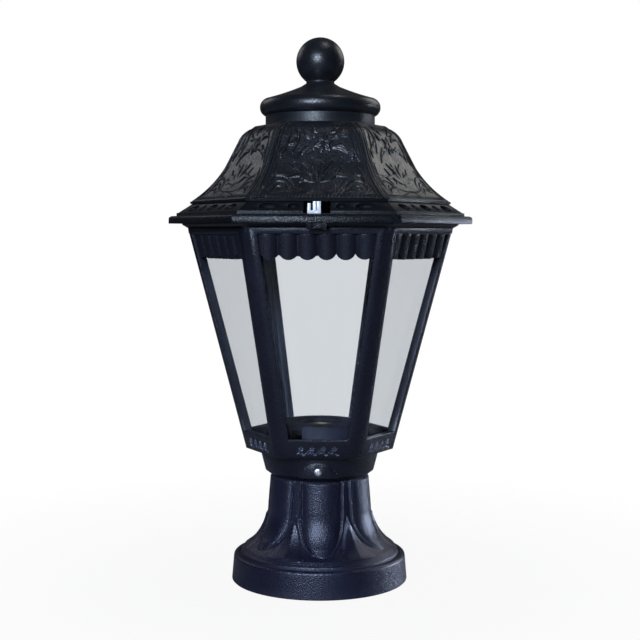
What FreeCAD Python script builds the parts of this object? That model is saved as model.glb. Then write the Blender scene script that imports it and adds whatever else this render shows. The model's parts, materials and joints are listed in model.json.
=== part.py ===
import FreeCAD, Part
import Sketcher
import math
import os
import re

os.makedirs("parts", exist_ok=True)
doc = FreeCAD.newDocument("pedestal_lantern")
sheet = doc.addObject("Spreadsheet::Sheet", "dims")
vector = FreeCAD.Vector
upright = vector(0, 0, 1)

sizes = {
    "foot_radius": 68.5,
    "foot_height": 20.7,
    "foot_draft": 1.5,
    "foot_round": 2.5,
    "step_radius": 62,
    "step_height": 2.5,
    "bell_radius": 58,
    "bell_base": 26.2,
    "waist_radius": 38.8,
    "waist_height": 58.2,
    "neck_radius": 37,
    "pedestal_height": 82.2,
    "pedestal_wall": 3.2,
    "spigot_radius": 30,
    "spigot_wall": 3.5,
    "spigot_height": 15.5,
    "web_level": 53.2,
    "web_thickness": 3,
    "tower_radius": 6,
    "fixing_radius": 2.75,
    "fixing_circle": 42,
    "cable_radius": 6,
    "tongue_width": 25.5,
    "tongue_rise": 1.8,
    "tongue_lobe": 10,
    "tongue_turn": 4,
    "tongue_top": 3,
    "tongue_tip": 28.2,
    "tongue_taper": 46,
    "tongue_blunt": 8,
    "dart_top": 50,
    "dart_width": 25,
    "dart_rise": 0.9,
    "dart_lobe": 30,
    "cup_height": 20,
    "cup_rim_radius": 46,
    "cup_base_radius": 42.3,
    "cup_bevel": 4,
    "cup_plate": 3,
    "slip_gap": 0.15,
    "pad_arch": 15.7,
    "pad_radius": 45.6,
    "clamp_level": 9,
    "clamp_head": 3,
    "clamp_shank": 2,
    "cage_base_radius": 57,
    "cage_top_radius": 102,
    "cage_height": 171,
    "corner_flat": 8.5,
    "frame_depth": 6.6,
    "post_flange": 4.6,
    "floor_thickness": 3,
    "sill_height": 14,
    "header_height": 4.5,
    "rim_radius": 107.4,
    "rim_height": 3.5,
    "rim_cove": 2.5,
    "scallop_drop": 18.5,
    "scallop_radius": 7.3,
    "flute_radius": 10,
    "flute_rise": 2,
    "flute_recess": 1.2,
    "pane_thickness": 2.5,
    "pane_lap": 3.5,
    "gasket_width": 3,
    "gasket_depth": 2,
    "gasket_inset": 3,
    "turret_radius": 32,
    "turret_height": 18,
    "turret_wall": 3,
    "turret_flange": 42,
    "flange_thickness": 3,
    "mouth_radius": 14.25,
    "slot_width": 8.3,
    "slot_height": 11,
    "slot_turn": 31,
    "holder_radius": 19,
    "holder_length": 31,
    "holder_flange": 27,
    "holder_rim": 5,
    "holder_floor": 5,
    "shell_wall": 0.6,
    "shell_length": 22,
    "contact_radius": 4,
    "contact_height": 2.5,
    "fixing_screw": 1.5,
    "fixing_head": 3,
    "fixing_seat": 38,
    "holder_seat": 23,
    "block_length": 22,
    "block_width": 14,
    "block_height": 12,
    "block_offset": 16,
    "lead_radius": 1.2,
    "lead_spread": 6,
    "eave_radius": 117.5,
    "slab_height": 5.8,
    "slab_round": 2,
    "tier_radius": 111.3,
    "tier_height": 2.4,
    "band_base_radius": 110,
    "band_top_radius": 99,
    "band_height": 7,
    "lip_radius": 100.6,
    "lip_height": 1.8,
    "ogee_base_radius": 99.4,
    "ogee_waist_radius": 73.4,
    "ogee_waist": 26.5,
    "ogee_shoulder_radius": 63.5,
    "ogee_shoulder": 45.5,
    "ogee_crown_radius": 53.6,
    "ogee_crown": 55,
    "ogee_top_radius": 49.4,
    "ogee_height": 58,
    "flare_radius": 80,
    "shoulder_radius": 16,
    "roof_wall": 3,
    "hip_width": 4,
    "relief_rise": 1.2,
    "band_sink": 1.2,
    "oval_width": 12,
    "oval_height": 4.4,
    "dot_radius": 1.6,
    "band_pitch": 17,
    "notch_width": 19,
    "notch_depth": 15,
    "lug_width": 13.6,
    "lug_height": 5,
    "lug_depth": 6,
    "lug_ear": 3,
    "clip_width": 5.6,
    "clip_height": 8.6,
    "clip_depth": 4,
    "clip_strip": 1.2,
    "hinge_drop": 4,
    "knuckle_radius": 3.5,
    "knuckle_width": 13.4,
    "ear_width": 5,
    "pin_radius": 1.5,
    "running_gap": 0.3,
    "collar_radius": 42,
    "collar_height": 8,
    "ring_radius": 46.3,
    "ring_height": 12,
    "dome_radius": 42.7,
    "dome_height": 9.5,
    "dome_top_radius": 15.4,
    "cap_height": 32.5,
    "cap_wall": 2.5,
    "ball_radius": 18.45,
    "ball_neck": 10.8,
    "stud_radius": 3,
    "stud_head": 5,
    "stud_washer": 8,
    "washer_thickness": 1.5,
}
for row, (alias, value) in enumerate(sizes.items(), 1):
    sheet.set(f"A{row}", alias.replace("_", " "))
    sheet.set(f"B{row}", str(value))
    sheet.setAlias(f"B{row}", alias)
doc.recompute()

nodes = []


def ref(text):
    return re.sub(r"[a-z][a-z_]*", lambda m: "dims." + m[0] if m[0] in sizes else m[0], str(text))


def number(text):
    return float(sheet.evalExpression(ref(text)))


def bind(thing, **texts):
    for name, text in texts.items():
        thing.setExpression(name.replace("__", "."), ref(text))
    return thing


def node(label, thing):
    thing.Label = label
    nodes.append(thing)
    return thing


def spin(angle):
    return FreeCAD.Rotation(upright, angle)


def hexagon(name, radius, level, angle=0):
    ring = doc.addObject("Part::RegularPolygon", name)
    ring.Polygon = 6
    ring.Placement.Rotation = spin(angle)
    return bind(ring, Circumradius=radius, Placement__Base__z=level)


def tapered_hexagon(name, sections, angle=0):
    rings = [hexagon(f"{name}_ring{i}", r, z, angle) for i, (r, z) in enumerate(sections)]
    solid = doc.addObject("Part::Loft", name)
    solid.Sections = rings
    solid.Solid = True
    solid.Ruled = True
    return solid


def cylinder(name, radius, height, x="0", y="0", z="0", turn=None):
    solid = doc.addObject("Part::Cylinder", name)
    if turn:
        solid.Placement.Rotation = turn
    bind(solid, Radius=radius, Height=height)
    return bind(solid, Placement__Base__x=x, Placement__Base__y=y, Placement__Base__z=z)


def box(name, x, y, z):
    solid = doc.addObject("Part::Box", name)
    bind(solid, Length=f"({x[1]}) - ({x[0]})", Width=f"({y[1]}) - ({y[0]})", Height=f"({z[1]}) - ({z[0]})")
    return bind(solid, Placement__Base__x=x[0], Placement__Base__y=y[0], Placement__Base__z=z[0])


def block(name, half_low, half_high, low, high, reach, angle):
    solid = doc.addObject("Part::Wedge", name)
    solid.Placement.Rotation = spin(angle) * FreeCAD.Rotation(vector(1, 0, 0), 90)
    bind(solid, Xmin=f"-({half_low})", Xmax=half_low, X2min=f"-({half_high})", X2max=half_high)
    return bind(solid, Ymin=low, Ymax=high, Zmin="0", Zmax=reach, Z2min="0", Z2max=reach)


def fuse(name, parts):
    solid = doc.addObject("Part::MultiFuse", name)
    solid.Shapes = parts
    return solid


def common(name, parts):
    solid = doc.addObject("Part::MultiCommon", name)
    solid.Shapes = parts
    return solid


def cut(name, base, tools):
    solid = doc.addObject("Part::Cut", name)
    solid.Base = base
    solid.Tool = tools[0] if len(tools) == 1 else fuse(name + "_tools", tools)
    return solid


def origin_of(body, role):
    return [f for f in body.Origin.OriginFeatures if f.Role == role][0]


def segment(start, end, radius):
    if not radius:
        return Part.LineSegment(vector(*start, 0), vector(*end, 0)), 1, 2
    dx = end[0] - start[0]
    dy = end[1] - start[1]
    chord = math.hypot(dx, dy)
    rise = math.sqrt(max(radius * radius - chord * chord / 4, 0))
    side = 1 if radius > 0 else -1
    cx = (start[0] + end[0]) / 2 - side * dy / chord * rise
    cy = (start[1] + end[1]) / 2 + side * dx / chord * rise
    first = math.atan2(start[1] - cy, start[0] - cx)
    last = math.atan2(end[1] - cy, end[0] - cx)
    circle = Part.Circle(vector(cx, cy, 0), upright, abs(radius))
    if side > 0:
        return Part.ArcOfCircle(circle, first, last), 1, 2
    return Part.ArcOfCircle(circle, last, first), 2, 1


def sketch_on(body, name, role, level=None):
    sketch = body.newObject("Sketcher::SketchObject", name)
    sketch.AttachmentSupport = [(origin_of(body, role), "")]
    sketch.MapMode = "FlatFace"
    if level:
        bind(sketch, AttachmentOffset__Base__z=level)
    return sketch


def datum(sketch, kind, place, text):
    value = number(text)
    index = sketch.addConstraint(Sketcher.Constraint(kind, *place, value))
    sketch.setExpression(f"Constraints[{index}]", ref(text))


def outline(sketch, points):
    spots = [(number(p[0]), number(p[1])) for p in points]
    edges = []
    for i, point in enumerate(points):
        bend = number(point[2]) if len(point) > 2 else 0
        shape, first, last = segment(spots[i], spots[(i + 1) % len(points)], bend)
        edges.append((sketch.addGeometry(shape), first, last))
    for i, (edge, first, last) in enumerate(edges):
        after = edges[(i + 1) % len(edges)]
        sketch.addConstraint(Sketcher.Constraint("Coincident", edge, last, after[0], after[1]))
    for (edge, first, last), point in zip(edges, points):
        datum(sketch, "DistanceX", (-1, 1, edge, first), point[0])
        datum(sketch, "DistanceY", (-1, 1, edge, first), point[1])
        if len(point) > 2:
            datum(sketch, "Radius", (edge,), f"abs({point[2]})")


def turned(name, points):
    body = doc.addObject("PartDesign::Body", name)
    sketch = sketch_on(body, name + "_profile", "XZ_Plane")
    outline(sketch, points)
    solid = body.newObject("PartDesign::Revolution", name + "_turn")
    solid.Profile = sketch
    solid.ReferenceAxis = (sketch, ["V_Axis"])
    solid.Angle = 360
    body.Tip = solid
    return body


def padded(name, role, outlines, length, level=None, direction=None):
    body = doc.addObject("PartDesign::Body", name)
    sketch = sketch_on(body, name + "_sketch", role, level)
    for points in outlines:
        outline(sketch, points)
    pad = body.newObject("PartDesign::Pad", name + "_pad")
    pad.Profile = sketch
    bind(pad, Length=length)
    if direction:
        pad.UseCustomVector = True
        pad.Direction = direction
    body.Tip = pad
    return body


def six_round(name, base):
    doc.recompute()
    body = doc.addObject("PartDesign::Body", name)
    body.BaseFeature = base
    doc.recompute()
    ring = body.newObject("PartDesign::PolarPattern", name + "_ring")
    ring.Axis = (origin_of(body, "Z_Axis"), [""])
    ring.Angle = 360
    ring.Occurrences = 6
    ring.TransformMode = "Whole shape"
    body.Tip = ring
    return body


def circle_of(name, count, first, radius, seat, low, high):
    made = []
    for i in range(count):
        angle = math.radians(first + 360 / count * i)
        x = f"({seat}) * {math.cos(angle):.6f}"
        y = f"({seat}) * {math.sin(angle):.6f}"
        made.append(cylinder(f"{name}{i}", radius, f"({high}) - ({low})", x, y, low))
    return made


flat = "(sqrt(3) / 2)"
cage_low = "(pedestal_height + cup_height)"
floor_top = f"({cage_low} + floor_thickness)"
cage_high = f"({cage_low} + cage_height)"
sill_top = f"({cage_low} + sill_height)"
header_low = f"({cage_high} - header_height)"
eave_low = f"({cage_high} + rim_height)"
slab_top = f"({eave_low} + slab_height)"
tier_top = f"({slab_top} + tier_height)"
band_top = f"({tier_top} + band_height)"
lip_top = f"({band_top} + lip_height)"
roof_top = f"({lip_top} + ogee_height)"
cap_top = f"({roof_top} + cap_height)"
ball_drop = "sqrt(ball_radius^2 - ball_neck^2)"
ball_mid = f"({cap_top} + 1.4 + {ball_drop})"
spigot_top = "(pedestal_height + spigot_height)"
web_top = "(web_level + web_thickness)"
turret_top = f"({floor_top} + turret_height)"
plate_low = f"({turret_top} - turret_wall)"
holder_low = f"({plate_low} - holder_length)"
eave_flat = f"(eave_radius * {flat})"

# pedestal
bell_run = "(bell_radius - waist_radius)"
bell_fall = "(waist_height - bell_base)"
bell_bend = f"(({bell_run}^2 + {bell_fall}^2) / (2 * {bell_run}))"
bell_mid = f"(waist_radius + {bell_bend})"
inner_bend = f"({bell_bend} + pedestal_wall)"
inner_bell = f"({bell_mid} - sqrt({inner_bend}^2 - {bell_fall}^2))"
room = "(neck_radius - pedestal_wall)"
bore = "(spigot_radius - spigot_wall)"
shell = turned("pedestal_shell", [
    (inner_bell, "foot_height - pedestal_wall"),
    ("foot_radius - 2 * pedestal_wall", "foot_height - pedestal_wall"),
    ("foot_radius - pedestal_wall - 1", "0"),
    ("foot_radius", "0"),
    ("foot_radius - foot_draft", "foot_height - foot_round", "foot_round * 1.05"),
    ("foot_radius - foot_draft - foot_round", "foot_height"),
    ("step_radius", "foot_height"),
    ("step_radius - 1", "foot_height + step_height"),
    ("bell_radius", "bell_base", f"-{bell_bend}"),
    ("waist_radius", "waist_height"),
    ("neck_radius", "pedestal_height - 3"),
    ("neck_radius", "pedestal_height"),
    ("spigot_radius", "pedestal_height"),
    ("spigot_radius", spigot_top),
    (bore, spigot_top),
    (bore, "pedestal_height - pedestal_wall"),
    (room, "pedestal_height - pedestal_wall - 2"),
    (room, web_top),
    ("cable_radius", web_top),
    ("cable_radius", "web_level"),
    ("waist_radius - pedestal_wall", "web_level"),
    ("waist_radius - pedestal_wall", "waist_height - 9", inner_bend),
])


def raised_bell(name, rise, lobe):
    body = doc.addObject("PartDesign::Body", name)
    sketch = sketch_on(body, name + "_profile", "XZ_Plane")
    outline(sketch, [
        ("0", "bell_base - 1"),
        (f"bell_radius - {lobe}", "bell_base - 1"),
        (f"bell_radius + {rise} - {lobe}", "bell_base", f"-{bell_bend}"),
        (f"waist_radius + {rise} - {lobe}", "waist_height"),
        (f"neck_radius + {rise} - {lobe}", "pedestal_height - 3"),
        ("0", "pedestal_height - 3"),
    ])
    solid = body.newObject("PartDesign::Revolution", name + "_turn")
    solid.Profile = sketch
    solid.ReferenceAxis = (sketch, ["V_Axis"])
    solid.Angle = 360
    body.Tip = solid
    return bind(body, Placement__Base__y=f"-({lobe})")


core = raised_bell("bell_core", "-1.5", "0")
half = "tongue_width / 2"
tongue_shape = common("tongue_shape", [
    raised_bell("tongue_bell", "tongue_rise", "tongue_lobe"),
    padded("tongue_outline", "XZ_Plane", [[
        ("-tongue_blunt / 2", "tongue_tip", "tongue_blunt * 0.9"),
        ("tongue_blunt / 2", "tongue_tip", "70"),
        (half, "tongue_taper"),
        (half, "pedestal_height - tongue_top"),
        (f"-{half}", "pedestal_height - tongue_top"),
        (f"-{half}", "tongue_taper", "70"),
    ]], "foot_radius + 5"),
])
tongues = six_round("tongues", cut("tongue_front", tongue_shape, [core]))
dart_shape = common("dart_shape", [
    raised_bell("dart_bell", "dart_rise", "dart_lobe"),
    padded("dart_outline", "XZ_Plane", [[
        ("-dart_width / 2", "bell_base"),
        ("dart_width / 2", "bell_base", "60"),
        ("0", "dart_top", "60"),
    ]], "foot_radius + 5"),
])
darts = six_round("darts", cut("dart_front", dart_shape, [core]))
tongues.Placement.Rotation = spin(number("tongue_turn"))
darts.Placement.Rotation = spin(number("tongue_turn") + 30)
seat = "fixing_circle / 2"
towers = circle_of("tower", 3, 270, "tower_radius", seat, "0", "web_level + 0.5")
pedestal_solid = fuse("pedestal_solid", [shell, tongues, darts] + towers)
pedestal = node("pedestal", cut("pedestal_cut", pedestal_solid,
    circle_of("fixing", 3, 270, "fixing_radius", seat, "-1", f"{web_top} + 1")))

grommet = node("cable_grommet", turned("grommet", [
    ("cable_radius - 2.5", "web_level - 2"),
    ("cable_radius + 2.5", "web_level - 2"),
    ("cable_radius + 2.5", "web_level"),
    ("cable_radius", "web_level"),
    ("cable_radius", web_top),
    ("cable_radius + 2", web_top),
    ("cable_radius + 2", f"{web_top} + 1.5"),
    ("cable_radius - 2.5", f"{web_top} + 1.5"),
]))

block_top = f"({web_top} + block_height)"
node("terminal_block", box("connector", ("-block_length / 2", "block_length / 2"),
    ("block_offset - block_width / 2", "block_offset + block_width / 2"), (web_top, block_top)))
lead_length = f"{holder_low} - {block_top}"
node("live_lead", cylinder("live_wire", "lead_radius", lead_length,
    "lead_spread", "block_offset - 3", block_top))
node("neutral_lead", cylinder("neutral_wire", "lead_radius", lead_length,
    "-lead_spread", "block_offset - 3", block_top))

# cup
cup_bore = "spigot_radius + slip_gap"
cup_roof = f"({cage_low} - cup_plate)"
clear_hole = "holder_radius + 1.5"
node("neck_seal", turned("seal", [
    (bore, spigot_top),
    ("spigot_radius", spigot_top),
    ("spigot_radius", cup_roof),
    (bore, cup_roof),
]))
cup_shell = turned("cup_shell", [
    (cup_bore, "pedestal_height"),
    ("neck_radius", "pedestal_height"),
    ("cup_base_radius", "pedestal_height + cup_bevel"),
    ("cup_rim_radius", f"{cage_low} - 1.5"),
    ("cup_rim_radius", cage_low),
    (clear_hole, cage_low),
    (clear_hole, cup_roof),
    (cup_bore, cup_roof),
])
to_front = FreeCAD.Rotation(vector(1, 0, 0), 90)
clamp_z = "pedestal_height + clamp_level"
pad_low = "pedestal_height + cup_bevel"
pad_ring = cylinder("pad_ring", "pad_radius", f"{cage_low} - ({pad_low})", z=pad_low)
pad_arch = cylinder("pad_arch_prism", "pad_arch", "cup_rim_radius + 5", z="pedestal_height", turn=to_front)
pad_bore = cylinder("pad_bore", "cup_base_radius - 2", "cup_height + 2", z="pedestal_height - 1")
pad = cut("clamp_pad", common("pad_shape", [pad_ring, pad_arch]), [pad_bore])
clamp_hole = cylinder("clamp_hole", "clamp_shank", "cup_rim_radius + 5", z=clamp_z, turn=to_front)
cup_pilots = circle_of("pilot", 3, 90, "fixing_screw", "fixing_seat", f"{cage_low} - 9", f"{cage_low} + 1")
node("cup", cut("cup_cut", fuse("cup_solid", [cup_shell, pad]), [clamp_hole] + cup_pilots))
clamp_head = cylinder("clamp_screw_head", "clamp_head", "2", y="-pad_radius", z=clamp_z, turn=to_front)
clamp_shaft = cylinder("clamp_shaft", "clamp_shank", "pad_radius - spigot_radius",
    y="-spigot_radius", z=clamp_z, turn=to_front)
node("clamp_screw", fuse("clamp_fused", [clamp_head, clamp_shaft]))

# cage
slope = "(cage_top_radius - cage_base_radius) / cage_height"


def post_radius(level):
    return f"(cage_base_radius + ({slope}) * (({level}) - {cage_low}))"


def corner_radius(level, inset="0"):
    return f"({post_radius(level)} + corner_flat / 2 / sqrt(3) - ({inset}) / {flat})"


def opening_half(level):
    return f"({corner_radius(level)} / 2 - corner_flat / sqrt(3) - post_flange)"


def frame_block(name, inset, low, high):
    return tapered_hexagon(name, [(corner_radius(low, inset), low), (corner_radius(high, inset), high)])


trim = tapered_hexagon("corner_trim", [
    (f"{post_radius(cage_low)} / {flat}", cage_low),
    (f"{post_radius(cage_high)} / {flat}", cage_high),
], 30)
frame = common("frame", [frame_block("frame_outer", "0", cage_low, cage_high), trim])
rim = tapered_hexagon("rim", [
    (post_radius(cage_high), f"{cage_high} - 4"),
    (f"{post_radius(cage_high)} + 0.5", cage_high),
    ("rim_radius - 0.6", f"{cage_high} + rim_cove"),
    ("rim_radius", eave_low),
])
hollow = tapered_hexagon("hollow", [
    (corner_radius(floor_top, "frame_depth"), floor_top),
    (corner_radius(cage_high, "frame_depth"), cage_high),
    (corner_radius(cage_high, "frame_depth"), f"{eave_low} + 1"),
])
panels = [block(f"window{k}", opening_half(sill_top), opening_half(header_low), sill_top, header_low,
    "eave_radius + 20", 60 * k) for k in range(6)]
rim_flat = f"(rim_radius * {flat})"
seal_out = f"(({rim_flat} - gasket_inset) / {flat})"
seal_in = f"(({rim_flat} - gasket_inset - gasket_width) / {flat})"


def seal_ring(name):
    low = f"{eave_low} - gasket_depth"
    outer = tapered_hexagon(name + "_outer", [(seal_out, low), (seal_out, eave_low)])
    inner = tapered_hexagon(name + "_inner", [(seal_in, f"{low} - 1"), (seal_in, f"{eave_low} + 1")])
    return cut(name, outer, [inner])


hinge_y = f"({eave_flat} - knuckle_radius)"
hinge_z = f"({eave_low} - hinge_drop)"
along = FreeCAD.Rotation(vector(0, 1, 0), 90)
knuckle = cylinder("knuckle", "knuckle_radius", "knuckle_width", "-knuckle_width / 2", hinge_y, hinge_z, along)
arm = box("knuckle_arm", ("-knuckle_width / 2", "knuckle_width / 2"),
    (f"{corner_radius(cage_high)} * {flat} - 4", hinge_y), (f"{hinge_z} - knuckle_radius", f"{eave_low} - 0.5"))
pin_hole = cylinder("pin_hole", "pin_radius", "knuckle_width + 2", "-knuckle_width / 2 - 1", hinge_y, hinge_z, along)
cage_holes = circle_of("cage_hole", 3, 90, "fixing_screw", "fixing_seat", f"{cage_low} - 1", f"{floor_top} + 1")
cage_mouth = cylinder("cage_mouth", clear_hole, "floor_thickness + 2", z=f"{cage_low} - 1")
cage_tools = [hollow, seal_ring("seal_groove"), pin_hole, cage_mouth] + panels + cage_holes
node("cage", cut("cage_cut", fuse("cage_solid", [frame, rim, arm, knuckle]), cage_tools))
node("roof_gasket", seal_ring("gasket"))

# valance
valance_low = f"({header_low} - scallop_drop)"
lobe_level = f"({valance_low} + scallop_radius)"
head = opening_half(header_low)
lobe = f"({opening_half(lobe_level)} / 6)"
cusp = f"({lobe_level} - sqrt(scallop_radius^2 - {lobe}^2))"
scallops = [(f"{opening_half(cusp)}", cusp), (head, header_low), (f"-{head}", header_low)]
scallops.append((f"-{opening_half(cusp)}", cusp, "scallop_radius"))
for i in range(1, 6):
    scallops.append((f"{lobe} * {2 * i - 6}", cusp, "scallop_radius"))
scallop_tool = padded("scallop_tool", "XZ_Plane", [scallops], "eave_radius")
crest = f"({corner_radius(valance_low)} * {flat} - flute_recess - flute_rise)"
wave = f"({opening_half(header_low)} / 6)"
flutes = [(f"{wave} * 6", "-10"), (f"-{wave} * 6", "-10")]
for i in range(6):
    flutes.append((f"{wave} * {2 * i - 6}", f"-{crest}", "flute_radius"))
flutes.append((f"{wave} * 6", f"-{crest}"))
lean = vector(0, -number(f"({slope}) * {flat}"), 1)
flute_tool = padded("flute_tool", "XY_Plane", [flutes], "scallop_drop * 1.3", valance_low, lean)
apron_back = frame_block("apron_back", "frame_depth", valance_low, header_low)
apron_front = cut("apron_front", common("apron_shape", [scallop_tool, flute_tool]), [apron_back])
node("valance", six_round("aprons", apron_front))

# panes
pane_outer = frame_block("pane_outer", "frame_depth", floor_top, cage_high)
pane_inner = frame_block("pane_inner", "frame_depth + pane_thickness", floor_top, cage_high)
pane_layer = cut("pane_layer", pane_outer, [pane_inner])
sides = ["front", "front_right", "back_right", "back", "back_left", "front_left"]
for k, side in enumerate(sides):
    shape = block(f"pane_block{k}", f"{opening_half(floor_top)} + pane_lap",
        f"{opening_half(cage_high)} + pane_lap", floor_top, cage_high, "eave_radius", 60 * k)
    node("pane_" + side, common(f"pane_cut{k}", [pane_layer, shape]))

# lamp turret
turret_shell = turned("turret_shell", [
    ("turret_radius - turret_wall", floor_top),
    ("turret_flange", floor_top),
    ("turret_flange", f"{floor_top} + flange_thickness"),
    ("turret_radius", f"{floor_top} + flange_thickness"),
    ("turret_radius", turret_top),
    ("mouth_radius", turret_top),
    ("mouth_radius", plate_low),
    ("turret_radius - turret_wall", plate_low),
])
slot = block("turret_slot", "slot_width / 2", "slot_width / 2", f"{plate_low} - slot_height", plate_low,
    "turret_radius + 2", -number("slot_turn"))
turret_tools = [slot] + circle_of("turret_hole", 3, 90, "fixing_screw + 0.4", "fixing_seat",
    f"{floor_top} - 1", f"{floor_top} + flange_thickness + 1")
turret_tools += circle_of("holder_pilot", 2, 0, "fixing_screw", "holder_seat",
    f"{plate_low} - 1", f"{turret_top} - 1")
node("turret", cut("turret_cut", turret_shell, turret_tools))

shell_out = "mouth_radius"
shell_low = f"({plate_low} - shell_length)"
holder_shell = turned("holder_shell", [
    ("0", holder_low),
    ("holder_radius", holder_low),
    ("holder_radius", f"{plate_low} - holder_rim"),
    ("holder_flange", f"{plate_low} - holder_rim"),
    ("holder_flange", plate_low),
    (shell_out, plate_low),
    (shell_out, f"{holder_low} + holder_floor"),
    ("0", f"{holder_low} + holder_floor"),
])
node("lampholder", cut("holder_cut", holder_shell, circle_of("holder_hole", 2, 0, "fixing_screw", "holder_seat",
    f"{plate_low} - holder_rim - 1", f"{plate_low} + 1")))
node("contact_shell", turned("screw_shell", [
    (f"{shell_out} - shell_wall", shell_low),
    (shell_out, shell_low),
    (shell_out, plate_low),
    (f"{shell_out} - shell_wall", plate_low),
]))
node("centre_contact", cylinder("contact_disc", "contact_radius", "contact_height",
    z=f"{holder_low} + holder_floor"))


def screws(label, name, count, first, seat_radius, head_low, head_high, tip_low, tip_high):
    heads = circle_of(name + "_head", count, first, "fixing_head", seat_radius, head_low, head_high)
    shafts = circle_of(name + "_shaft", count, first, "fixing_screw", seat_radius, tip_low, tip_high)
    node(label, fuse(name, heads + shafts))


flange_top = f"({floor_top} + flange_thickness)"
rim_low = f"({plate_low} - holder_rim)"
screws("cage_screws", "floor_screws", 3, 90, "fixing_seat", flange_top, f"{flange_top} + 2",
    f"{cage_low} - 9", flange_top)
screws("holder_screws", "plate_screws", 2, 0, "holder_seat", f"{rim_low} - 2", rim_low,
    rim_low, f"{turret_top} - 1")

node("hinge_pin", cylinder("pin", "pin_radius", "knuckle_width + 2 * (running_gap + ear_width)",
    "-knuckle_width / 2 - running_gap - ear_width", hinge_y, hinge_z, along))

# roof
def ogee_points(offset, low):
    far = "(-eave_radius - 10)"
    return [
        (far, low),
        (f"ogee_base_radius * {flat} - ({offset})", low),
        (f"ogee_base_radius * {flat} - ({offset})", lip_top, "-flare_radius"),
        (f"ogee_waist_radius * {flat} - ({offset})", f"{lip_top} + ogee_waist"),
        (f"ogee_shoulder_radius * {flat} - ({offset})", f"{lip_top} + ogee_shoulder", "shoulder_radius"),
        (f"ogee_crown_radius * {flat} - ({offset})", f"{lip_top} + ogee_crown"),
        (f"ogee_top_radius * {flat} - ({offset})", roof_top),
        (far, roof_top),
    ]


def ogee(name, offset, low, drop="0"):
    slices = []
    for k in range(6):
        body = padded(f"{name}{k}", "YZ_Plane", [ogee_points(offset, low)], "3 * eave_radius")
        body.Placement = FreeCAD.Placement(vector(0, 0, -number(drop)), spin(60 * k)) * FreeCAD.Placement(
            vector(-1.5 * number("eave_radius"), 0, 0), FreeCAD.Rotation())
        slices.append(body)
    return common(name, slices)


dome = ogee("dome", "0", f"{band_top} - 1")
proud = ogee("proud_dome", "-relief_rise", f"{lip_top} - 1")


def leaf(x0, z0, x1, z1, bend):
    return [(x0, f"{lip_top} + {z0}", bend), (x1, f"{lip_top} + {z1}", bend)]


leaves = [
    leaf("0", 9, "0", 41, 24),
    leaf("3", 8, "17", 36, 22),
    leaf("-17", 36, "-3", 8, 22),
    leaf("6", 6.5, "29", 21, 20),
    leaf("-29", 21, "-6", 6.5, 20),
    leaf("9", 4, "37", 8.5, 24),
    leaf("-37", 8.5, "-9", 4, 24),
    leaf("8", 42, "21", 46, 11),
    leaf("-21", 46, "-8", 42, 11),
    leaf("22", 23, "25", 40, 13),
    leaf("-25", 40, "-22", 23, 13),
]
leaf_front = common("leaf_front", [padded("leaf_tool", "XZ_Plane", leaves, "eave_radius"), proud])
carving = six_round("carving", leaf_front)
hips = [block(f"hip{k}", "hip_width / 2", "hip_width / 2", lip_top, roof_top, "eave_radius", 60 * k + 30)
    for k in range(6)]
ribs = common("hip_ribs", [fuse("hip_boxes", hips), proud])
eave = tapered_hexagon("eave_slab", [
    ("eave_radius", eave_low),
    ("eave_radius", f"{slab_top} - slab_round"),
    ("eave_radius - slab_round * 0.35", f"{slab_top} - slab_round * 0.35"),
    ("eave_radius - slab_round * 1.2", slab_top),
])
tier = tapered_hexagon("tier", [("tier_radius", f"{slab_top} - 1"), ("tier_radius", tier_top)])
band = tapered_hexagon("band", [("band_base_radius", tier_top), ("band_top_radius", band_top)])
band_core = tapered_hexagon("band_core", [
    ("band_base_radius - band_sink * 1.5", tier_top),
    ("band_top_radius - band_sink * 1.5", band_top),
])
lip = tapered_hexagon("lip", [("lip_radius", band_top), ("lip_radius", lip_top)])
band_mid = f"{tier_top} + band_height * 0.47"
ovals = []
for i in range(5):
    mid = f"band_pitch * {i - 2}"
    tall = "oval_height" if i % 2 == 0 else "dot_radius * 2"
    wide = "oval_width" if i % 2 == 0 else "dot_radius * 3"
    arc = f"((({wide})^2 + ({tall})^2) / (4 * ({tall})))"
    ovals.append([(f"{mid} - ({wide}) / 2", band_mid, arc), (f"{mid} + ({wide}) / 2", band_mid, arc)])
oval_ring = six_round("oval_ring", padded("oval_tool", "XZ_Plane", ovals, "eave_radius"))
dimples = cut("dimples", common("band_ovals", [oval_ring, band]), [band_core])
inside = f"(ogee_base_radius - roof_wall / {flat})"
hatch = tapered_hexagon("hatch", [(inside, f"{eave_low} - 1"), (inside, lip_top)])
cavity = ogee("cavity", "roof_wall", f"{band_top} - 2", "roof_wall")
front = f"(-{eave_flat})"
lug_ears = []
for i, edge in enumerate(["-lug_width / 2", "lug_width / 2 - lug_ear"]):
    lug_ears.append(box(f"lug{i}", (edge, f"{edge} + lug_ear"), (front, f"{front} + lug_depth"),
        (f"{eave_low} - lug_height", f"{eave_low} + 1")))
lug_web = box("lug_web", ("-lug_width / 2", "lug_width / 2"), (f"{front} + 1.5", f"{front} + lug_depth"),
    (f"{eave_low} - lug_height + 1", f"{eave_low} + 1"))
ears = []
for i, start in enumerate(["knuckle_width / 2 + running_gap", "-knuckle_width / 2 - running_gap - ear_width"]):
    ears.append(cylinder(f"ear_round{i}", "knuckle_radius", "ear_width", start, hinge_y, hinge_z, along))
    ears.append(box(f"ear_block{i}", (start, f"{start} + ear_width"),
        (f"{hinge_y} - knuckle_radius", f"{hinge_y} + knuckle_radius"), (hinge_z, f"{eave_low} + 1")))
ear_hole = cylinder("ear_hole", "pin_radius + 0.1", "knuckle_width + 40", "-knuckle_width / 2 - 20",
    hinge_y, hinge_z, along)
notch_floor = f"({slab_top} + 0.5)"
notch_front = f"(-tier_radius * {flat} - 1)"
notch = box("notch", ("-notch_width / 2", "notch_width / 2"), (notch_front, f"{notch_front} + notch_depth"),
    (notch_floor, band_top))
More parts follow.
